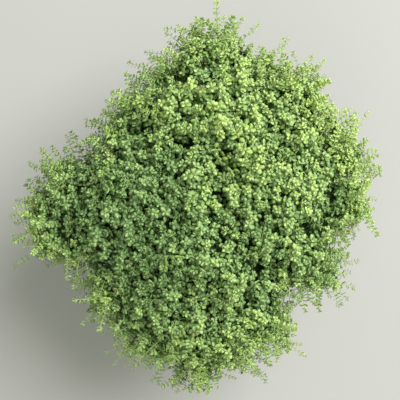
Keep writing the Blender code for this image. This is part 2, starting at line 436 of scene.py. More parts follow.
def reach_at(azimuth):
    """The cushion's reach towards an azimuth, in metres, smoothly between the listed ones."""
    count = len(REACH_MM)
    place = (azimuth / (2 * math.pi)) % 1.0 * count
    before = int(place) % count
    eased = 0.5 - 0.5 * math.cos(math.pi * (place - int(place)))
    return MM * (REACH_MM[before] * (1 - eased) + REACH_MM[(before + 1) % count] * eased)


def mound_point(azimuth, climb, inset=0.0):
    """A point on the mound, or so far inside it. Climb runs from -1 at the hem to 1 on top."""
    angle = climb * math.pi / 2
    out = abs(math.cos(angle)) ** (2 / ROUNDNESS) * (reach_at(azimuth) - inset)
    half = MOUND_TOP - inset - WAIST_HEIGHT if climb > 0 else WAIST_HEIGHT - MOUND_HEM
    up = math.copysign(abs(math.sin(angle)) ** (2 / ROUNDNESS), climb) * half
    point = Vector((out * math.cos(azimuth), out * math.sin(azimuth), WAIST_HEIGHT + up))
    outward = (point - MOUND_CORE).normalized()
    height = TUFT_HEIGHT * (1 + TUFT_GAIN * max(climb, 0.0))
    return point + outward * height * noise.noise((point + outward * inset) / TUFT_WIDTH)


# %% Painted light and shade over the mound
# Each row: the middle (x and y) and radius in mm of a spot painted lighter or darker as light
# and shade, and how much.
LIGHT_AND_SHADE_SPOTS = (
    (-46, -24, 37, -0.46),
    (10, 18, 24, 0.44),
    (88, 54, 25, 0.55),
    (40, 92, 26, 0.20),
    (-55, 72, 28, -0.18),
    (-57, -78, 24, 0.30),
    (-5, -108, 34, 0.32),
    (76, -48, 24, -0.28),
    (14, -50, 16, 0.14),
)
# Tufts that stand out are painted brighter by this much, as painted light.
TUFT_PAINTED_LIGHT = 0.6
# The side towards the light is painted brighter by this much, and the far side darker, over a
# soft edge this wide.
SUNNY_SIDE = 0.13
SUNNY_EDGE = 0.045


def painted_light_at(point):
    """Painted light and shade: by side to the light, by spot, and brighter on the tufts."""
    vigour = SUNNY_SIDE * math.tanh((point.x + 0.7 * point.y) / SUNNY_EDGE)
    for x, y, radius, amount in LIGHT_AND_SHADE_SPOTS:
        away = math.hypot(point.x / MM - x, point.y / MM - y) / radius
        vigour += amount * math.exp(-away * away / 2)
    return vigour + TUFT_PAINTED_LIGHT * noise.noise(point / TUFT_WIDTH)


# %% The mound cut into one patch for each clump
GUIDE_AROUND = 180
GUIDE_UP = 70
LOWEST_CLIMB = -0.55
clump_middles = [box_middle(name) for name in clump_names]


def guide_patches():
    """The mound as one patch of faces for each clump, each face going to the nearest clump."""
    climbs = np.linspace(LOWEST_CLIMB, 1.0, GUIDE_UP)
    azimuths = [2 * math.pi * step / GUIDE_AROUND for step in range(GUIDE_AROUND)]
    rings = [[mound_point(azimuth, climb) for azimuth in azimuths] for climb in climbs]
    patches = [[] for _ in clump_names]
    for ring, (low, high) in enumerate(zip(rings, rings[1:])):
        for step in range(GUIDE_AROUND):
            after = (step + 1) % GUIDE_AROUND
            face = (low[step], low[after], high[after], high[step])
            centre = sum(face, Vector()) / 4
            distances = [(centre - middle).length for middle in clump_middles]
            nearest = distances.index(min(distances))
            patches[nearest].append((face, (climbs[ring] + climbs[ring + 1]) / 2))
    return patches


def patch_object(name, faces):
    """One patch as a mesh whose corners know their climb, share of the reach and painted light."""
    shape = bmesh.new()
    layers = [shape.verts.layers.float.new(label) for label in ("climb", "edge_share", "vigour")]
    for face, climb in faces:
        corners = [shape.verts.new(corner) for corner in face]
        for corner in corners:
            reach = reach_at(math.atan2(corner.co.y, corner.co.x))
            share = math.hypot(corner.co.x, corner.co.y) / reach
            for layer, value in zip(layers, (climb, share, painted_light_at(corner.co))):
                corner[layer] = value
        shape.faces.new(corners)
    bmesh.ops.remove_doubles(shape, verts=shape.verts[:], dist=SAME_PLACE)
    return new_object(name, shape)


guides = []
for name, faces in zip(clump_names, guide_patches()):
    guides.append(patch_object(name.replace("leafy_clump", "guide"), faces))
print("guide faces:", [len(guide.data.polygons) for guide in guides])

# %% [markdown]
# ## Setting out the shoots
# One Geometry Nodes tree does the planting. It scatters feet over a patch, never closer than the
# shoots really stand, leans each one between the surface's own direction and straight up, and
# instances a random shoot there. Slow noise makes groups of shoots stand a little taller or
# lower, and the same noise brightens or dims them, as the tallest tips catch the most light.
# Three layers go on each patch: the cushion's shoots, a lower storey that fills between them,
# and long loose sprays round the rim.

# %% The planting tree's inputs
SHOOT_INPUTS = (
    ("cushion", "NodeSocketCollection", None),
    ("low", "NodeSocketCollection", None),
    ("spray", "NodeSocketCollection", None),
    ("cushion spacing", "NodeSocketFloat", 0.0045),
    ("low spacing", "NodeSocketFloat", 0.0040),
    ("spray spacing", "NodeSocketFloat", 0.0058),
    ("Path", "NodeSocketObject", None),
    ("Seed", "NodeSocketInt", 0),
    ("Foot", "NodeSocketVector", (0.0, 0.0, 0.12)),
    ("Twig Radius", "NodeSocketFloat", 0.0003),
    ("Strands", "NodeSocketInt", 9),
    ("Strand Radius", "NodeSocketFloat", 0.0006),
    ("Finish", "NodeSocketMaterial", None),
)


def new_geometry_tree(name, sockets):
    """A tree with geometry in and out and the named inputs, what adds its nodes, its inputs."""
    tree = bpy.data.node_groups.new(name, "GeometryNodeTree")
    tree.interface.new_socket("Geometry", in_out="INPUT", socket_type="NodeSocketGeometry")
    for label, kind, default in sockets:
        socket = tree.interface.new_socket(label, in_out="INPUT", socket_type=kind)
        if default is not None:
            socket.default_value = default
    tree.interface.new_socket("Geometry", in_out="OUTPUT", socket_type="NodeSocketGeometry")
    add = partial(add_node, tree)
    return tree, add, add("NodeGroupInput").outputs


# %% Feet for one layer of shoots
# Groups of shoots this wide stand taller or lower, and more so near the rim.
GROUP_WIDTH = 15 * MM
GROUP_SWING = 0.020
RIM_SWING = 0.022
SHOOT_JITTER = 0.0018


def scattered(add, group, layer, seed, buried, up_pull, stray, tries, share):
    """Points for the shoots' feet, and the direction that each shoot grows in.

    The more tries a square metre gets, the fewer gaps stay between the points.
    """
    layer_seed = add("ShaderNodeMath", {0: group["Seed"], 1: float(seed)}, operation="ADD")
    inputs = {
        "Mesh": group["Geometry"],
        "Distance Min": group[f"{layer} spacing"],
        "Density Max": tries,
        "Density Factor": share,
        "Seed": layer_seed,
    }
    method = {"distribute_method": "POISSON"}
    spread = add("GeometryNodeDistributePointsOnFaces", inputs, **method).outputs
    # Straight up is added to the surface's direction, so that the tips turn to the light.
    inputs = {0: spread["Normal"], 1: (0.0, 0.0, up_pull)}
    aim = add("ShaderNodeVectorMath", inputs, operation="ADD")
    inputs = {0: (-stray,) * 3, 1: (stray,) * 3, "Seed": seed + 1}
    wander = add("FunctionNodeRandomValue", inputs, data_type="FLOAT_VECTOR")
    aim = add("ShaderNodeVectorMath", {0: aim, 1: wander}, operation="ADD")
    aim = add("ShaderNodeVectorMath", {0: aim}, operation="NORMALIZE")
    climb = add("GeometryNodeInputNamedAttribute", {"Name": "climb"})
    rim = add("ShaderNodeMath", {0: climb, 1: -0.05, 2: 0.30}, operation="COMPARE")
    swing = add("ShaderNodeMath", {0: rim, 1: RIM_SWING, 2: GROUP_SWING}, operation="MULTIPLY_ADD")
    blotches = add("ShaderNodeTexNoise", {"Scale": 1 / GROUP_WIDTH, "Detail": 1.0})
    uneven = add("ShaderNodeMath", {0: blotches, 1: 0.5}, operation="SUBTRACT")
    jitter = add("FunctionNodeRandomValue", {2: -SHOOT_JITTER, 3: SHOOT_JITTER, "Seed": seed + 2})
    lift = add("ShaderNodeMath", {0: uneven, 1: swing, 2: jitter}, operation="MULTIPLY_ADD")
    # The lift is stored for the tone, because this noise changes once the points have moved.
    inputs = {"Geometry": spread["Points"], "Name": "lift", "Value": lift}
    lifted = add("GeometryNodeStoreNamedAttribute", inputs)
    drop = add("ShaderNodeMath", {0: lift, 1: buried}, operation="SUBTRACT")
    offset = add("ShaderNodeVectorMath", {0: aim, "Scale": drop}, operation="SCALE")
    return add("GeometryNodeSetPosition", {"Geometry": lifted, "Offset": offset}), aim


# %% Shoots on the feet
DRY_SHARE = 0.018
RIM_SIZE = 0.78


def instanced(add, points, collection, seed, rotation, size):
    """One of the collection's shapes, picked at random, on every point."""
    inputs = {"Collection": collection, "Separate Children": True, "Reset Children": True}
    shapes = add("GeometryNodeCollectionInfo", inputs)
    pick = add("FunctionNodeRandomValue", {4: 0, 5: 1000, "Seed": seed}, data_type="INT")
    inputs = {
        "Points": points,
        "Instance": shapes,
        "Pick Instance": True,
        "Instance Index": pick,
        "Rotation": rotation,
        "Scale": size,
    }
    return add("GeometryNodeInstanceOnPoints", inputs)


def planted(add, points, aim, collection, seed, low, high, hangs, tone):
    """A random shoot on every point, turned along its aim, with its own size and tone."""
    stand = add("FunctionNodeAlignRotationToVector", {"Vector": aim}, axis="Z")
    if hangs:
        # The sag of a long spray has to point down, so its side is turned to face up.
        inputs = {"Rotation": stand, "Vector": (0.0, 0.0, 1.0)}
        settings = {"axis": "Y", "pivot_axis": "Z"}
        stand = add("FunctionNodeAlignRotationToVector", inputs, **settings)
    else:
        spin = add("FunctionNodeRandomValue", {2: 0.0, 3: 2 * math.pi, "Seed": seed})
        spin = add("ShaderNodeCombineXYZ", {"Z": spin})
        inputs = {"Rotation": stand, "Rotate By": spin}
        stand = add("FunctionNodeRotateRotation", inputs, rotation_space="LOCAL")
    size = add("FunctionNodeRandomValue", {2: low, 3: high, "Seed": seed + 2})
    # The youngest and smallest shoots are at the rim.
    edge = add("GeometryNodeInputNamedAttribute", {"Name": "edge_share"})
    inputs = {"Value": edge, "From Min": 0.6, "From Max": 1.0, "To Min": 1.0, "To Max": RIM_SIZE}
    young = add("ShaderNodeMapRange", inputs)
    size = add("ShaderNodeMath", {0: size, 1: young}, operation="MULTIPLY")
    placed = instanced(add, points, collection, seed + 1, stand, size)
    # A few shoots have dried out, as in every real cushion.
    luck = add("FunctionNodeRandomValue", {"Seed": seed + 3})
    dry = add("ShaderNodeMath", {0: luck, 1: DRY_SHARE}, operation="LESS_THAN")
    for label, value in (("shoot_tone", tone), ("dry", dry)):
        inputs = {"Geometry": placed, "Name": label, "Value": value}
        placed = add("GeometryNodeStoreNamedAttribute", inputs, domain="INSTANCE")
    return placed


# %% [markdown]
# ## Stems below the leaves
# Under the green tips there is a fan of bare thin branches, one to each shoot, that spread from
# the end of a main stem. The main stem itself is a bundle of old stems that have grown together
# at the crown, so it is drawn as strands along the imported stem's middle line.


# %% Branches and main stem strands
def thickened(add, curves, noise_scale, most, least, youngest, sides, radius):
    """The curves pushed aside by noise, most at mid-length, with an age and a round section."""
    share = add("GeometryNodeSplineParameter")
    left = add("ShaderNodeMath", {0: 1.0, 1: share}, operation="SUBTRACT")
    bulge = add("ShaderNodeMath", {0: share, 1: left}, operation="MULTIPLY")
    reach = add("ShaderNodeMath", {0: bulge, 1: most, 2: least}, operation="MULTIPLY_ADD")
    blow = add("ShaderNodeTexNoise", {"Scale": noise_scale, "Detail": 0.0}).outputs["Color"]
    sway = add("ShaderNodeVectorMath", {0: blow, 1: (0.5, 0.5, 0.5)}, operation="SUBTRACT")
    offset = add("ShaderNodeVectorMath", {0: sway, "Scale": reach}, operation="SCALE")
    bent = add("GeometryNodeSetPosition", {"Geometry": curves, "Offset": offset})
    # A stem is youngest where it starts at a shoot and oldest, 1, where it ends.
    age = add("ShaderNodeMath", {0: share, 1: 1 - youngest, 2: youngest}, operation="MULTIPLY_ADD")
    aged = add("GeometryNodeStoreNamedAttribute", {"Geometry": bent, "Name": "age", "Value": age})
    profile = add("GeometryNodeCurvePrimitiveCircle", {"Resolution": sides, "Radius": radius})
    inputs = {"Curve": aged, "Profile Curve": profile, "Fill Caps": True}
    return add("GeometryNodeCurveToMesh", inputs)


def branch_nodes(add, group, points):
    """A thin bent twig between the clump's foot and the foot of each shoot."""
    inputs = {0: group["Foot"], 1: add("GeometryNodeInputPosition")}
    away = add("ShaderNodeVectorMath", inputs, operation="SUBTRACT")
    distance = add("ShaderNodeVectorMath", {0: away}, operation="LENGTH")
    line = add("GeometryNodeCurvePrimitiveLine", {"End": (0.0, 0.0, 1.0)})
    bar = add("GeometryNodeResampleCurve", {"Curve": line, "Count": 5})
    aim = add("FunctionNodeAlignRotationToVector", {"Vector": away}, axis="Z")
    stretch = add("ShaderNodeCombineXYZ", {"X": 1.0, "Y": 1.0, "Z": distance})
    inputs = {"Points": points, "Instance": bar, "Rotation": aim, "Scale": stretch}
    lines = add("GeometryNodeInstanceOnPoints", inputs)
    real = add("GeometryNodeRealizeInstances", {"Geometry": lines})
    return thickened(add, real, 90.0, 0.048, 0.0, 0.5, 4, group["Twig Radius"])


def strand_nodes(add, group):
    """The main stem as a bundle of strands that part and meet again along its middle line."""
    path = add("GeometryNodeObjectInfo", {"Object": group["Path"]}).outputs["Geometry"]
    line = add("GeometryNodeMeshToCurve", {"Mesh": path})
    even = add("GeometryNodeResampleCurve", {"Curve": line, "Count": 14})
    inputs = {"Geometry": even, "Amount": group["Strands"]}
    copies = add("GeometryNodeDuplicateElements", inputs, domain="SPLINE").outputs
    inputs = {0: (-1.0,) * 3, 1: (1.0,) * 3, "ID": copies["Duplicate Index"], "Seed": group["Seed"]}
    aside = add("FunctionNodeRandomValue", inputs, data_type="FLOAT_VECTOR")
    offset = add("ShaderNodeVectorMath", {0: aside, "Scale": 0.0019}, operation="SCALE")
    parted = add("GeometryNodeSetPosition", {"Geometry": copies["Geometry"], "Offset": offset})
    return thickened(add, parted, 160.0, 0.014, 0.002, 1.0, 6, group["Strand Radius"])


# %% Where each layer grows, and how bright it is
def layer_shares(add):
    """How densely each layer stands, by its place on the mound."""
    climb = add("GeometryNodeInputNamedAttribute", {"Name": "climb"})
    thinning = add("ShaderNodeMath", {0: climb, 1: 0.48}, operation="ADD")
    # Sprays grow only near the widest level, and in groups.
    near_rim = add("ShaderNodeMath", {0: climb, 1: 0.06, 2: 0.34}, operation="COMPARE")
    groups = add("ShaderNodeTexNoise", {"Scale": 1 / (17 * MM), "Detail": 0.0})
    grouped = add("ShaderNodeMapRange", {"Value": groups, "From Min": 0.36, "From Max": 0.56})
    share = add("ShaderNodeMath", {0: near_rim, 1: grouped}, operation="MULTIPLY")
    return {"cushion": thinning, "low": thinning, "spray": share}


def layer_tones(add):
    """How bright each layer's shoots are: painted light by place, rim and lift; tone by chance."""
    vigour = add("GeometryNodeInputNamedAttribute", {"Name": "vigour"})
    tones = {}
    # Each row: layer, least and most of a random share, its seed, and how much painted light adds.
    # The low storey is set darker on the scale, as painted shade down among the shoots.
    rows = (("low", -0.2, 0.2, 79, 0.7), ("spray", 0.4, 0.85, 78, 1.0))
    for layer, least, most, seed, weight in rows:
        chance = add("FunctionNodeRandomValue", {2: least, 3: most, "Seed": seed})
        inputs = {0: vigour, 1: weight, 2: chance}
        tones[layer] = add("ShaderNodeMath", inputs, operation="MULTIPLY_ADD")
    edge = add("GeometryNodeInputNamedAttribute", {"Name": "edge_share"})
    edge = add("ShaderNodeMath", {0: edge, 1: 6.0}, operation="POWER")
    lift = add("GeometryNodeInputNamedAttribute", {"Name": "lift"})
    # Squaring the chance makes most shoots plain and a few stand out bright.
    chance = add("FunctionNodeRandomValue", {"Seed": 77})
    chance = add("ShaderNodeMath", {0: chance, 1: 2.0}, operation="POWER")
    # The rim and the lift are painted light: shoots out at the rim and shoots standing above their
    # neighbours are made brighter.
    tone = vigour
    for cause, weight in ((edge, 0.55), (lift, 60.0), (chance, 0.65)):
        tone = add("ShaderNodeMath", {0: cause, 1: weight, 2: tone}, operation="MULTIPLY_ADD")
    tones["cushion"] = add("ShaderNodeMath", {0: tone, 1: 0.24}, operation="ADD")
    return tones


# %% The whole planting tree
# Each row: seed, depth of the feet, pull upwards, stray, tries for a square metre, smallest and
# largest size, and whether the shoots hang.
LAYERS = {
    "cushion": (10, CUSHION_LENGTH * MM * 0.80, 0.40, 0.40, 90000.0, 0.70, 1.04, False),
    "low": (60, 0.0168, 0.3, 0.5, 300000.0, 0.85, 1.1, False),
    "spray": (40, SPRAY_LENGTH * MM * 0.62, 0.05, 0.42, 90000.0, 0.8, 1.25, True),
}


def planting_tree(name, with_branches):
    """Cushion shoots, the lower storey, rim sprays and, for stems, what carries them."""
    tree, add, group = new_geometry_tree(name, SHOOT_INPUTS)
    shares, tones = layer_shares(add), layer_tones(add)
    parts, all_feet = [], []
    for layer, (seed, buried, pull, stray, tries, low, high, hangs) in LAYERS.items():
        share, tone = shares[layer], tones[layer]
        feet, aim = scattered(add, group, layer, seed, buried, pull, stray, tries, share)
        all_feet.append(feet)
        parts.append(planted(add, feet, aim, group[layer], seed + 10, low, high, hangs, tone))
    if with_branches:
        parts += [branch_nodes(add, group, feet) for feet in all_feet]
        parts.append(strand_nodes(add, group))
    join = add("GeometryNodeJoinGeometry")
    for part in parts:
        tree.links.new(part.outputs[0], join.inputs[0])
    close_tree(add, group, join)
    return tree


def close_tree(add, group, geometry):
    """The end of a tree: real geometry in the finish that the tree is given."""
    real = add("GeometryNodeRealizeInstances", {"Geometry": geometry})
    finished = add("GeometryNodeSetMaterial", {"Geometry": real, "Material": group["Finish"]})
    add("NodeGroupOutput", {"Geometry": finished})


leaf_planting = planting_tree("leaf_planting", with_branches=False)
stem_planting = planting_tree("stem_planting", with_branches=True)
print("planting trees:", len(leaf_planting.nodes), "and", len(stem_planting.nodes), "nodes")

# %% [markdown]
# ## Leaf finish
# The skin of a sandwort leaf is a thin waxy cuticle over soft green tissue: a broad soft shine,
# no sparkle. New leaves are yellow-green, and older ones deeper and bluer. The midrib is a shade
# lighter than the blade. Each shoot's tone is partly its own, by chance, and partly painted light
# and shade from where it stands on the mound, from a shaded blue-green to a sunlit yellow-green.

# %% Leaf material
leaf_finish, add, skin = new_material("sandwort_leaf_cuticle", {"Roughness": 0.42, "IOR": 1.45})
labels = ("age", "shoot_tone", "leaf_tone", "dry", "lamina")
facts = [add("ShaderNodeAttribute", attribute_name=label).outputs for label in labels]
age, shoot_tone, leaf_tone, dry = [fact["Fac"] for fact in facts[:4]]
lamina = add("ShaderNodeSeparateXYZ", {"Vector": facts[4]["Vector"]}).outputs
# Each shoot runs from shaded blue-green to sunlit yellow-green, and so does each leaf a little.
tone = add("ShaderNodeMath", {0: leaf_tone, 1: 0.36, 2: shoot_tone}, operation="MULTIPLY_ADD")
tone = add("ShaderNodeMath", {0: tone, 1: 0.18}, operation="SUBTRACT")
stops = [(0.0, "#82a865"), (0.35, "#9bbd75"), (0.7, "#b0ce80"), (1.0, "#c4df87")]
young = add("ShaderNodeValToRGB", {"Fac": tone}, stops)
stops = [(0.0, "#507536"), (0.35, "#6b934b"), (0.7, "#85ad54"), (1.0, "#a2c65d")]
grown = add("ShaderNodeValToRGB", {"Fac": tone}, stops)
colour = add("ShaderNodeMix", {0: age, 6: young, 7: grown}, data_type="RGBA")
# The midrib is a pale line about a tenth of the blade wide, and the underside is paler too.
rib = add("ShaderNodeMath", {0: lamina["X"]}, operation="ABSOLUTE")
inputs = {"Value": rib, "From Min": 0.0, "From Max": 0.11, "To Min": 0.22, "To Max": 0.0}
rib = add("ShaderNodeMapRange", inputs)
inputs = {"Value": lamina["Z"], "From Min": 0.0, "From Max": -1.0, "To Max": 0.35}
lower_face = add("ShaderNodeMapRange", inputs)
# A quarter of the leaves on a dry shoot have withered.
oldest = add("ShaderNodeMath", {0: leaf_tone, 1: 0.75}, operation="GREATER_THAN")
withered = add("ShaderNodeMath", {0: oldest, 1: dry}, operation="MULTIPLY")
for share, over in ((rib, "#dbe6ae"), (lower_face, "#a9bf8c"), (withered, "#7c8148")):
    inputs = {0: share, 6: colour, 7: linear(over)}
    colour = add("ShaderNodeMix", inputs, data_type="RGBA", feeds=skin["Base Color"])
print("leaf finish nodes:", len(leaf_finish.node_tree.nodes))

# %% [markdown]
# ## Stem finish
# Young stems are a juicy yellow-green, and turn straw and then reddish brown towards the crown as
# the skin dries to bark. They are dull, with no shine to speak of.

# %% Stem material
stem_finish, add, skin = new_material("sandwort_stem_bark", {"Roughness": 0.65, "IOR": 1.45})
age = add("ShaderNodeAttribute", attribute_name="age").outputs["Fac"]
place = add("ShaderNodeTexCoord").outputs["Object"]
streaks = add("ShaderNodeTexNoise", {"Vector": place, "Scale": 1 / (4 * MM), "Detail": 2.0})
uneven = add("ShaderNodeMath", {0: streaks, 1: 0.3, 2: -0.15}, operation="MULTIPLY_ADD")
ripe = add("ShaderNodeMath", {0: age, 1: uneven}, operation="ADD")
stops = [(0.0, "#bccf74"), (0.45, "#a5b964"), (0.75, "#857b48"), (1.0, "#5c452f")]
add("ShaderNodeValToRGB", {"Fac": ripe}, stops, feeds=skin["Base Color"])
print("stem finish nodes:", len(stem_finish.node_tree.nodes))

# %% [markdown]
# ## Growing the clumps
# Each patch is run through the planting tree twice, once for its leaves and once for its stems.
# The result is turned to a plain mesh, and the patch and its modifier are left behind.


# %% Grow one clump
CROWN_MIDDLE = box_middle("root_crown")


def stem_path(name, number):
    """The middle line of a packed main stem, from the crown outwards, as a guide object."""
    vertices = frame["nodes"][name].data.vertices
    corners = {tuple(round(value, 5) for value in vertex.co) for vertex in vertices}
    ordered = sorted(corners, key=lambda corner: math.dist(corner, CROWN_MIDDLE))
    points = [group.mean(axis=0).tolist() for group in np.array_split(np.array(ordered), 9)]
    mesh = bpy.data.meshes.new(f"path_{number}")
    mesh.from_pydata(points, [(step, step + 1) for step in range(len(points) - 1)], [])
    return bpy.data.objects.new(mesh.name, mesh), points[-1]


def evaluated_copy(name, guide, tree, values):
    """Run a tree on a guide and keep the result as a plain mesh object."""
    modifier = guide.modifiers.new("planting", "NODES")
    modifier.node_group = tree
    for item in tree.interface.items_tree:
        if item.in_out == "INPUT" and item.name in values:
            modifier[item.identifier] = values[item.name]
    guide.update_tag()
    graph = bpy.context.evaluated_depsgraph_get()
    mesh = bpy.data.meshes.new_from_object(guide.evaluated_get(graph), depsgraph=graph)
    guide.modifiers.remove(modifier)
    mesh.name = name
    mesh.shade_smooth()
    return new_object(name, mesh)


def leaf_map(mesh):
    """A UV map with a cell of its own for each leaf: its top on the left, its underside right."""
    leaf_count = len(mesh.polygons) // LEAF_FACE_COUNT
    cells = math.ceil(math.sqrt(leaf_count))
    loops = np.empty(len(mesh.loops), dtype=np.int64)
    mesh.loops.foreach_get("vertex_index", loops)
    lamina = np.empty(len(mesh.vertices) * 3, dtype=np.float32)
    mesh.attributes["lamina"].data.foreach_get("vector", lamina)
    lamina = lamina.reshape(-1, 3)[loops]
    sizes = np.empty(len(mesh.polygons), dtype=np.int64)
    mesh.polygons.foreach_get("loop_total", sizes)
    face = np.repeat(np.arange(len(mesh.polygons)), sizes)
    leaf = face // LEAF_FACE_COUNT
    under = (face % LEAF_FACE_COUNT) >= LEAF_FACE_COUNT // 2
    # The blade fills its cell but for a narrow margin on every side.
    across = ((lamina[:, 0] / 0.82 + 0.5) * 0.86 + 0.07 + under) / 2
    along = lamina[:, 1] * 0.9 + 0.05
    uv = np.stack([(leaf % cells + across) / cells, (leaf // cells + along) / cells], axis=1)
    layer = mesh.uv_layers.new(name="OFBake")
    layer.data.foreach_set("uv", uv.astype(np.float32).ravel())


# %% Grow them all
leaf_total = 0
for index, (name, guide) in enumerate(zip(clump_names, guides)):
    number = name[-2:]
    stem_name = f"main_stem_{number}"
    path, foot = stem_path(stem_name, number)
    shared = {"Seed": index * 100, "Foot": foot, "Path": path}
    values = {**shared, **shoot_sets["leaves"], "Finish": leaf_finish}
    leaves = evaluated_copy(f"leaves_{number}", guide, leaf_planting, values)
    leaf_map(leaves.data)
    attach(leaves, "root")
    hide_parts(name)
    values = {**shared, **shoot_sets["stems"], "Finish": stem_finish}
    stems = evaluated_copy(f"stems_{number}", guide, stem_planting, values)
    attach(stems, "root")
    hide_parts(stem_name)
    leaf_total += len(leaves.data.polygons) // LEAF_FACE_COUNT
    discard([path])
print("leaves:", leaf_total)

discard(guides)
for sets in shoot_sets.values():
    for group in sets.values():
        discard(group.objects)
        bpy.data.collections.remove(group)

# %% [markdown]
# ## Old growth, painted as shade
# Under the live tips a cushion plant is a dense thatch of its own old leaves and bare stems, and
# no light passes through it. That shade is painted here: one dark green closed form under the
# mound, the same rule as the guide, some way below it, closed by an underside that clears the
# pot's lip.

# %% Old growth, a core of painted shade
THATCH_DEPTH = 0.0135
THATCH_UNDERSIDE = 0.1115
THATCH_STEPS = 120
LIP_CLEAR = 0.0735
# Lumps this wide and this high, which never push the underside down onto the pot.
LUMP_WIDTH = 0.006
LUMP_HEIGHT = 0.002


def thatch_ring(azimuth):
    """Points from the top's middle, out over the shoulder, and back in along the underside."""
    points = [mound_point(azimuth, climb, THATCH_DEPTH) for climb in np.linspace(1.0, 0.0, 22)]
    edge = reach_at(azimuth) - THATCH_DEPTH
    under = ((max(edge - 0.002, LIP_CLEAR), 0.1045), (max(edge * 0.9, LIP_CLEAR), 0.1035))
    under += ((0.0725, 0.1105), (0.03, THATCH_UNDERSIDE), (0.0, THATCH_UNDERSIDE))
    for out, height in under:
        points.append(Vector((out * math.cos(azimuth), out * math.sin(azimuth), height)))
    return points


# Without a seed of its own, vector noise starts from the clock.
noise.seed_set(1)
thatch_shape = bmesh.new()
rings = []
for step in range(THATCH_STEPS):
    ring = []
    for point in thatch_ring(2 * math.pi * step / THATCH_STEPS):
        rough = noise.noise_vector(point / LUMP_WIDTH) * LUMP_HEIGHT
        rough.z = max(rough.z, 0.0) if point.z < THATCH_UNDERSIDE + 0.0005 else rough.z
        ring.append(thatch_shape.verts.new(point + rough))
    rings.append(ring)
for ring, after in zip(rings, rings[1:] + rings[:1]):
    for row in range(len(ring) - 1):
        thatch_shape.faces.new((ring[row], ring[row + 1], after[row + 1], after[row]))
bmesh.ops.remove_doubles(thatch_shape, verts=thatch_shape.verts[:], dist=SAME_PLACE)
bmesh.ops.recalc_face_normals(thatch_shape, faces=thatch_shape.faces[:])
thatch = new_object("old_growth", thatch_shape)
thatch.data.shade_smooth()
print("old growth faces:", len(thatch.data.polygons))

# %% Old growth material, painted shade
thatch_shade_finish, add, skin = new_material("thatch_of_old_leaves", {"Roughness": 0.9})
place = add("ShaderNodeTexCoord").outputs["Object"]
# One cell for each old leaf, 3 mm across.
old_leaves = add("ShaderNodeTexVoronoi", {"Vector": place, "Scale": 1 / (3 * MM)})
chance = add("ShaderNodeSeparateColor", {"Color": old_leaves.outputs["Color"]})
# Painted shade: these dark greens stand for the deep shade down among the shoots.
stops = [(0.0, "#1f330f"), (0.4, "#2c4717"), (0.75, "#3a561e"), (1.0, "#4a5525")]
add("ShaderNodeValToRGB", {"Fac": chance}, stops, feeds=skin["Base Color"])
inputs = {"Height": old_leaves, "Strength": 0.8, "Distance": 0.001}
add("ShaderNodeBump", inputs, feeds=skin["Normal"])
thatch.data.materials.append(thatch_shade_finish)
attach(thatch, "root")

# %% [markdown]
# ## The nursery pot
# A nursery pot is blown or moulded from polypropylene that is dyed black: thin, a little rough
# from the mould, satin rather than shiny, and always slightly dusty near the ground. It is a
# turned shape, so its profile is drawn once and a Screw modifier spins it. A Boolean cuts the
# drain holes, as a punch does on the real one.

# %% Pot shape
LIP_RADIUS, _, POT_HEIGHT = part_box("nursery_pot")[1]
POT_WALL = 0.0014
POT_TOP_RADIUS = LIP_RADIUS - 0.003
POT_BASE_RADIUS = 0.048
DRAIN_RING_RADIUS = 0.0328
DRAIN_HALF_WIDTH = 0.0085
DRAIN_RISE = 0.003
DRAIN_HOLES = 8
DRAIN_HOLE_RADIUS = 0.0045


def wall_radius(height):
    """The outer radius of the sloping wall at a height."""
    return POT_BASE_RADIUS + (POT_TOP_RADIUS - POT_BASE_RADIUS) * height / POT_HEIGHT


def rounded(points, radius, steps=3):
    """The same outline with each inner corner cut by a small arc."""
    made = [points[0]]
    for before, corner, after in zip(points, points[1:], points[2:]):
        before, corner, after = Vector(before), Vector(corner), Vector(after)
        back, ahead = before - corner, after - corner
        reach = min(radius, back.length * 0.45, ahead.length * 0.45)
        first, last = corner + back.normalized() * reach, corner + ahead.normalized() * reach
        for step in range(steps + 1):
            t = step / steps
            bend = (1 - t) ** 2 * first + 2 * t * (1 - t) * corner + t**2 * last
            made.append(tuple(bend))
    return [*made, points[-1]]


ring_in, ring_out = DRAIN_RING_RADIUS - DRAIN_HALF_WIDTH, DRAIN_RING_RADIUS + DRAIN_HALF_WIDTH
under_lip = POT_HEIGHT - 0.0018
lip_foot = POT_HEIGHT - 0.0075
ledge = POT_HEIGHT * 0.8
pot_profile = rounded(
    [
        (0.0, POT_WALL),
        (ring_in - 0.001, POT_WALL),
        (ring_in + 0.001, POT_WALL + DRAIN_RISE),
        (ring_out - 0.001, POT_WALL + DRAIN_RISE),
        (ring_out + 0.001, POT_WALL),
        (wall_radius(POT_WALL) - POT_WALL, POT_WALL),
        (POT_TOP_RADIUS - POT_WALL, POT_HEIGHT),
        (LIP_RADIUS, POT_HEIGHT),
        (LIP_RADIUS, lip_foot),
        (LIP_RADIUS - 0.0012, lip_foot),
        (LIP_RADIUS - 0.0012, under_lip),
        (wall_radius(under_lip), under_lip),
        (wall_radius(ledge) + 0.0003, ledge),
        (wall_radius(ledge) - 0.0003, ledge - 0.001),
        (wall_radius(0.004), 0.004),
        (POT_BASE_RADIUS - 0.0006, 0.0),
        (ring_out + 0.002, 0.0),
        (ring_out, DRAIN_RISE),
        (ring_in, DRAIN_RISE),
        (ring_in - 0.002, 0.0),
        (0.0, 0.0),
    ],
    0.0006,
)

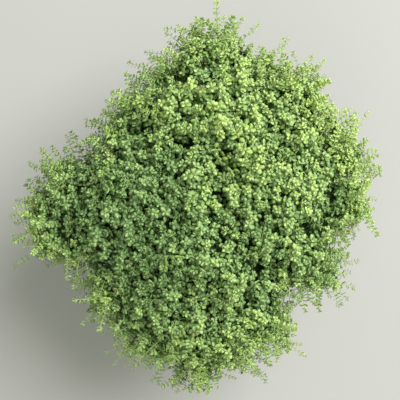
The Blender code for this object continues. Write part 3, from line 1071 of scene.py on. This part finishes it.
# %% Turn the pot and punch its drain holes
outline = bpy.data.meshes.new("pot_outline")
edges = [(index, index + 1) for index in range(len(pot_profile) - 1)]
outline.from_pydata([(radius, 0.0, height) for radius, height in pot_profile], edges, [])
spun = new_object("pot_outline", outline)
screw = spun.modifiers.new("turn", "SCREW")
screw.steps = screw.render_steps = 96
screw.use_merge_vertices = True
screw.merge_threshold = SAME_PLACE
punch_shape = bmesh.new()
sizes = {"radius1": DRAIN_HOLE_RADIUS, "radius2": DRAIN_HOLE_RADIUS, "depth": 4 * POT_WALL}
out = Matrix.Translation((DRAIN_RING_RADIUS, 0.0, DRAIN_RISE + POT_WALL / 2))
for hole in range(DRAIN_HOLES):
    turn = Matrix.Rotation(2 * math.pi * (hole + 0.5) / DRAIN_HOLES, 4, "Z")
    bmesh.ops.create_cone(punch_shape, cap_ends=True, segments=24, matrix=turn @ out, **sizes)
punch = new_object("punch", punch_shape)
cut = spun.modifiers.new("drain_holes", "BOOLEAN")
cut.operation = "DIFFERENCE"
cut.object = punch
graph = bpy.context.evaluated_depsgraph_get()
pot_mesh = bpy.data.meshes.new_from_object(spun.evaluated_get(graph), depsgraph=graph)
discard([spun, punch])
pot = new_object("pot", pot_mesh)
pot_mesh.shade_smooth()
pot_mesh.set_sharp_from_angle(angle=math.radians(40))
print("pot faces:", len(pot_mesh.polygons))

# %% Pot material
pot_finish, add, skin = new_material("black_polypropylene_moulded", {"IOR": 1.49})
place = add("ShaderNodeTexCoord").outputs["Object"]
height = add("ShaderNodeSeparateXYZ", {"Vector": place}).outputs["Z"]
inputs = {"Vector": place, "Scale": 1 / (26 * MM), "Detail": 5.0, "Roughness": 0.6}
smears = add("ShaderNodeTexNoise", inputs)
inputs = {"Value": height, "From Max": 0.05, "To Min": 0.35, "To Max": 0.0}
splashed = add("ShaderNodeMapRange", inputs)
dust = add("ShaderNodeMath", {0: smears, 1: splashed}, operation="ADD")
# Water that has run down the wall leaves streaks about 3 mm wide and many times as long.
drawn_out = add("ShaderNodeMapping", {"Vector": place, "Scale": (1.0, 1.0, 0.06)})
runs = add("ShaderNodeTexNoise", {"Vector": drawn_out, "Scale": 1 / (3 * MM), "Detail": 2.0})
runs = add("ShaderNodeMapRange", {"Value": runs, "From Min": 0.55, "From Max": 0.8, "To Max": 0.3})
dust = add("ShaderNodeMath", {0: dust, 1: runs}, operation="ADD")
dust = add("ShaderNodeMapRange", {"Value": dust, "From Min": 0.5, "From Max": 0.95, "To Max": 0.45})
inputs = {0: dust, 6: linear("#2b2c2e"), 7: linear("#7d7466")}
add("ShaderNodeMix", inputs, data_type="RGBA", feeds=skin["Base Color"])
add("ShaderNodeMath", {0: dust, 1: 0.6, 2: 0.42}, operation="MULTIPLY_ADD", feeds=skin["Roughness"])
# The mould's spark-eroded grain is about 0.3 mm; it is drawn at 0.8 mm so that it shows.
grain = add("ShaderNodeTexNoise", {"Vector": place, "Scale": 1 / (0.8 * MM)})
add("ShaderNodeBump", {"Height": grain, "Strength": 0.12, "Distance": 0.0002}, feeds=skin["Normal"])
pot_mesh.materials.clear()
pot_mesh.materials.append(pot_finish)
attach(pot, "root")
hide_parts("nursery_pot")
print("pot finish nodes:", len(pot_finish.node_tree.nodes))

# %% [markdown]
# ## Potting mix
# The mix is dark moist peat with crumbs of composted bark and a little white perlite. The packed
# solid has the right shape, so it keeps its mesh and gets a finish from two scales of noise. Loose
# crumbs lie on top of it: a few lumpy shapes that Geometry Nodes scatter over its upper face.


# %% Mix material
def fibrous_finish(name, roughness, stops, pattern, stretch, strength, depth):
    """A dull material whose colour and bumps both follow one noise, stretched along Z."""
    made, add, skin = new_material(name, {"Roughness": roughness})
    place = add("ShaderNodeTexCoord").outputs["Object"]
    drawn_out = add("ShaderNodeMapping", {"Vector": place, "Scale": (1.0, 1.0, stretch)})
    fibres = add("ShaderNodeTexNoise", {"Vector": drawn_out, **pattern})
    add("ShaderNodeValToRGB", {"Fac": fibres}, stops, feeds=skin["Base Color"])
    inputs = {"Height": fibres, "Strength": strength, "Distance": depth}
    add("ShaderNodeBump", inputs, feeds=skin["Normal"])
    return made


stops = [(0.3, "#17110c"), (0.5, "#33261b"), (0.68, "#5a4330"), (0.8, "#86705a")]
pattern = {"Scale": 1 / (2.2 * MM), "Detail": 4.0, "Roughness": 0.7}
mix_finish = fibrous_finish("moist_peat_and_bark", 0.95, stops, pattern, 1.0, 0.9, 0.0015)

# %% Loose crumb material
crumb_finish, add, skin = new_material("bark_crumbs_and_perlite", {"Roughness": 0.9})
kind = add("ShaderNodeAttribute", attribute_name="crumb_kind").outputs["Fac"]
stops = [(0.0, "#1d150f"), (0.45, "#3d2c1f"), (0.8, "#6b5038"), (0.93, "#d9d6cd")]
ramp = add("ShaderNodeValToRGB", {"Fac": kind}, stops, feeds=skin["Base Color"])
ramp.color_ramp.interpolation = "CONSTANT"

# %% Crumb shapes
dice = random.Random(21)
crumb_set = bpy.data.collections.new("crumbs")
for index in range(5):
    shape = bmesh.new()
    bmesh.ops.create_icosphere(shape, subdivisions=1, radius=1.0)
    CRUMB_FACES = len(shape.faces)
    for corner in shape.verts:
        corner.co *= dice.uniform(0.75, 1.2)
        corner.co.z *= 0.65
    mesh = bpy.data.meshes.new(f"crumb_{index}")
    shape.to_mesh(mesh)
    shape.free()
    crumb_set.objects.link(bpy.data.objects.new(mesh.name, mesh))
upper = bmesh.new()
upper.from_mesh(frame["nodes"]["root_ball"].data)
bmesh.ops.remove_doubles(upper, verts=upper.verts[:], dist=SAME_PLACE)
sides = [face for face in upper.faces if face.normal.z < 0.9]
bmesh.ops.delete(upper, geom=sides, context="FACES")
mix_top = new_object("mix_top", upper)

# %% Scatter the crumbs
CRUMB_INPUTS = (
    ("Crumbs", "NodeSocketCollection", None),
    ("Spacing", "NodeSocketFloat", 0.0030),
    ("Smallest", "NodeSocketFloat", 0.0007),
    ("Largest", "NodeSocketFloat", 0.0022),
    ("Finish", "NodeSocketMaterial", None),
)
tree, add, group = new_geometry_tree("crumb_scatter", CRUMB_INPUTS)
inputs = {"Mesh": group["Geometry"], "Distance Min": group["Spacing"], "Density Max": 200000.0}
method = {"distribute_method": "POISSON"}
spread = add("GeometryNodeDistributePointsOnFaces", inputs, **method)
inputs = {0: (0.0,) * 3, 1: (2 * math.pi,) * 3, "Seed": 3}
turn = add("FunctionNodeRandomValue", inputs, data_type="FLOAT_VECTOR")
size = add("FunctionNodeRandomValue", {2: group["Smallest"], 3: group["Largest"], "Seed": 4})
placed = instanced(add, spread, group["Crumbs"], 5, turn, size)
luck = add("FunctionNodeRandomValue", {"Seed": 6})
inputs = {"Geometry": placed, "Name": "crumb_kind", "Value": luck}
marked = add("GeometryNodeStoreNamedAttribute", inputs, domain="INSTANCE")
close_tree(add, group, marked)
values = {"Crumbs": crumb_set, "Finish": crumb_finish}
loose_mix = evaluated_copy("loose_mix", mix_top, tree, values)
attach(loose_mix, "root")
discard([mix_top, *crumb_set.objects])
bpy.data.collections.remove(crumb_set)
print("loose crumbs:", len(loose_mix.data.polygons) // CRUMB_FACES)

# %% [markdown]
# ## Root crown
# The crown is a knot of old wood with flaking bark at soil level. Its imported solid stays, with a
# fibrous brown finish.

# %% Crown material
stops = [(0.35, "#3a2819"), (0.55, "#6a4b30"), (0.75, "#9a7a55")]
pattern = {"Scale": 1 / (1.5 * MM), "Detail": 3.0}
crown_finish = fibrous_finish("woody_crown_bark", 0.85, stops, pattern, 0.35, 0.7, 0.0008)
for node_name, finish in (("root_ball", mix_finish), ("root_crown", crown_finish)):
    mesh = frame["nodes"][node_name].data
    mesh.materials.clear()
    mesh.materials.append(finish)
    print(node_name, "wears", finish.name)
